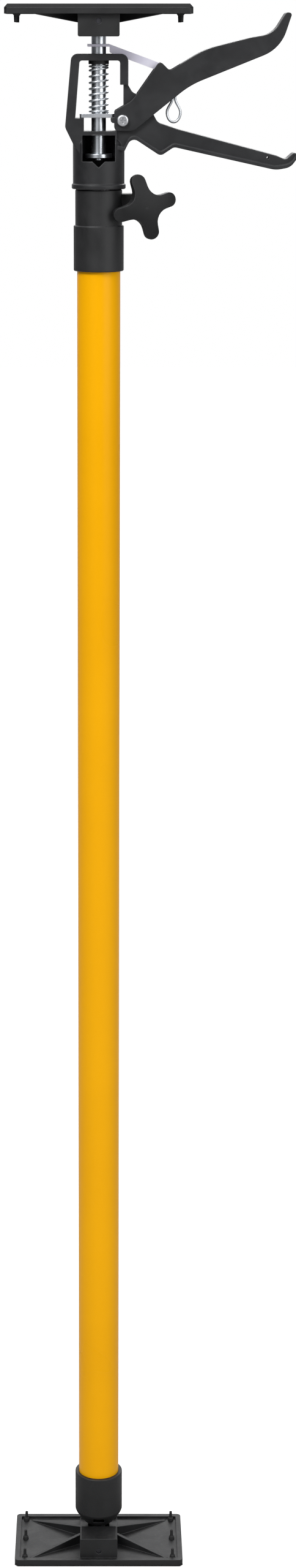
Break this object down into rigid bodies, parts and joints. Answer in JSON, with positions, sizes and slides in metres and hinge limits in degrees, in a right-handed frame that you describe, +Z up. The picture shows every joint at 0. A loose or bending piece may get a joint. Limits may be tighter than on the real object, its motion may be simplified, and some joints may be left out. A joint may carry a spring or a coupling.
{
  "type": "adjustable steel support prop",
  "caption": "Telescopic steel prop with a swivelling ribbed pad at each end, a screw clamp on the tube and a squeeze-lever one-way jack head.",
  "frame": {"origin": "on the floor under the pole's axis, at the middle of the foot sole's outer face", "axes": "+Z up the pole, +X towards the two handles, +Y away from the front"},
  "size_m": [0.2004, 0.07, 1.15],
  "materials": {
    "black_moulding": "satin black moulded nylon with fine texture and lightly polished edges",
    "sole_rubber": "matt black rubber",
    "yellow_paint": "glossy amber-yellow powder coat on steel tube",
    "tube_steel": "drawn and zinc-plated tube",
    "zinc_steel": "bright zinc plate",
    "black_steel": "blackened steel pin",
    "spring_steel": "bright drawn wire",
    "plated_rod": "polished zinc-plated rod",
    "pale_zinc": "pale lilac-white passivated zinc sheet",
    "brass_insert": "turned brass"
  },
  "bodies": {
    "pole": {"outer_tube": "yellow_paint", "foot_cup": "black_moulding", "foot_rivet": "zinc_steel", "clamp_collar": "black_moulding", "clamp_bolt": "zinc_steel"},
    "foot": {"foot_pad_plate": "black_moulding", "foot_pad_sole": "sole_rubber", "foot_pin": "black_steel"},
    "washer": {"clamp_washer": "zinc_steel"},
    "knob": {"clamp_knob": "black_moulding", "knob_insert": "brass_insert"},
    "head": {"inner_tube": "tube_steel", "guide_bush": "black_moulding", "head_frame": "black_moulding", "head_rivet": "zinc_steel", "pivot_screw": "zinc_steel", "pivot_nut": "zinc_steel", "brake_spring": "spring_steel"},
    "lever": {"trigger_lever": "black_moulding"},
    "drive": {"drive_plate": "zinc_steel", "main_spring": "spring_steel"},
    "rod": {"push_rod": "plated_rod", "rod_stop": "plated_rod"},
    "brake": {"brake_plate": "pale_zinc"},
    "loop": {"release_loop": "spring_steel"},
    "top": {"top_pad_plate": "black_moulding", "top_pad_sole": "sole_rubber", "top_pin": "black_steel"}
  },
  "joints": [
    {"name": "foot_tilt", "type": "hinge", "parent": "pole", "child": "foot", "pos_m": [0, 0, 0.0113], "axis": [0, 1, 0], "range_deg": [-15, 15]},
    {"name": "washer_slide", "type": "slide", "parent": "pole", "child": "washer", "axis": [0.2756, -0.9613, 0], "range_m": [0, 0.002]},
    {"name": "knob_turn", "type": "hinge", "parent": "washer", "child": "knob", "pos_m": [0.02576, 0.00739, 1.0143], "axis": [0.2756, -0.9613, 0], "range_deg": [0, 720.01]},
    {"name": "extension", "type": "slide", "parent": "pole", "child": "head", "axis": [0, 0, 1], "range_m": [0, 0.75]},
    {"name": "trigger_squeeze", "type": "hinge", "parent": "head", "child": "lever", "pos_m": [0.0164, 0, 1.0726], "axis": [0, 1, 0], "range_deg": [0, 28], "stiffness_Nm_per_rad": 0.2, "springref_deg": -34.38},
    {"name": "drive_lift", "type": "slide", "parent": "head", "child": "drive", "axis": [0, 0, 1], "range_m": [0, 0.003], "deforming": ["main_spring"]},
    {"name": "rod_lift", "type": "slide", "parent": "head", "child": "rod", "axis": [0, 0, 1], "range_m": [0, 0.012]},
    {"name": "brake_release", "type": "hinge", "parent": "head", "child": "brake", "pos_m": [0.0095, 0, 1.1169], "axis": [0, 1, 0], "range_deg": [0, 2.2], "stiffness_Nm_per_rad": 0.5, "springref_deg": -5.73},
    {"name": "loop_swing", "type": "hinge", "parent": "brake", "child": "loop", "pos_m": [0.04916, 0, 1.10296], "axis": [0, 1, 0], "range_deg": [-8, 3]},
    {"name": "top_tilt", "type": "hinge", "parent": "rod", "child": "top", "pos_m": [0, 0, 1.1387], "axis": [0, 1, 0], "range_deg": [-20, 20]}
  ],
  "couplings": [
    {"joint": "knob_turn", "follows": "washer_slide", "rad_per_m": 6283.2},
    {"joint": "drive_lift", "follows": "trigger_squeeze", "m_per_rad": 0.0061}
  ]
}
